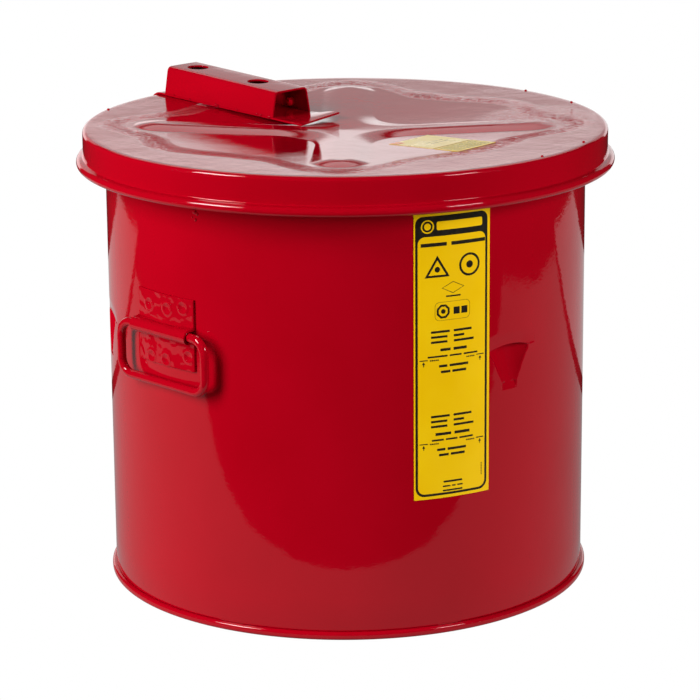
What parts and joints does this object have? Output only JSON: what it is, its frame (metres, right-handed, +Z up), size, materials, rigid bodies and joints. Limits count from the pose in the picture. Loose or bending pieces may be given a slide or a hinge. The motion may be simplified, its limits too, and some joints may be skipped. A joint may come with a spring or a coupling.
{
  "type": "parts washer tank",
  "caption": "Round steel parts washer tank with a rear-hinged lid held by a strap, drop handles, a lift-out draining basket with a bail, and pressed ledges to drain it on.",
  "frame": {"origin": "on the floor, at the middle of the tank", "axes": "+Z up; -Y is the front and +Y the hinge side; the drop handles are on -X and +X"},
  "size_m": [0.39, 0.3927, 0.3549],
  "materials": {
    "red_enamel": "glossy red baked enamel",
    "zinc_plate": "dull zinc plate",
    "label_film": "satin yellow printed film",
    "label_film_pale": "satin pale yellow printed film"
  },
  "bodies": {
    "tank": {"tank_shell": "red_enamel", "tank_bottom": "red_enamel", "bottom_chime": "red_enamel", "top_rim": "red_enamel", "handle_bracket_left": "red_enamel", "handle_bracket_right": "red_enamel", "hinge_bracket": "red_enamel", "hinge_pin": "zinc_plate", "hinge_rivet_left_low": "red_enamel", "hinge_rivet_left_high": "red_enamel", "hinge_rivet_right_low": "red_enamel", "hinge_rivet_right_high": "red_enamel", "body_label": "label_film"},
    "lid": {"lid_cover": "red_enamel", "hinge_strap": "red_enamel", "link_housing": "red_enamel", "link_rivet": "red_enamel", "lid_label": "label_film_pale"},
    "handle_left": {"handle_ring_left": "red_enamel"},
    "handle_right": {"handle_ring_right": "red_enamel"},
    "basket": {"basket_wall": "zinc_plate", "basket_floor": "zinc_plate", "basket_rim": "zinc_plate", "basket_lug_1": "zinc_plate", "basket_lug_2": "zinc_plate", "basket_lug_3": "zinc_plate", "bail_ear_left": "zinc_plate", "bail_ear_right": "zinc_plate"},
    "bail": {"bail_wire": "zinc_plate", "bail_grip": "zinc_plate"}
  },
  "joints": [
    {"name": "lid_hinge", "type": "hinge", "parent": "tank", "child": "lid", "pos_m": [0, 0.1925, 0.298], "axis": [-1, 0, 0], "range_deg": [0, 100]},
    {"name": "handle_left_swing", "type": "hinge", "parent": "tank", "child": "handle_left", "pos_m": [-0.17747, 0, 0.2108], "axis": [0, 1, 0], "range_deg": [0, 170]},
    {"name": "handle_right_swing", "type": "hinge", "parent": "tank", "child": "handle_right", "pos_m": [0.17747, 0, 0.2108], "axis": [0, -1, 0], "range_deg": [0, 170]},
    {"name": "basket_lift", "type": "slide", "parent": "tank", "child": "basket", "axis": [0, 0, 1], "range_m": [0, 0.2]},
    {"name": "bail_swing", "type": "hinge", "parent": "basket", "child": "bail", "pos_m": [0, 0, 0.11], "axis": [-1, 0, 0], "range_deg": [0, 180]}
  ]
}
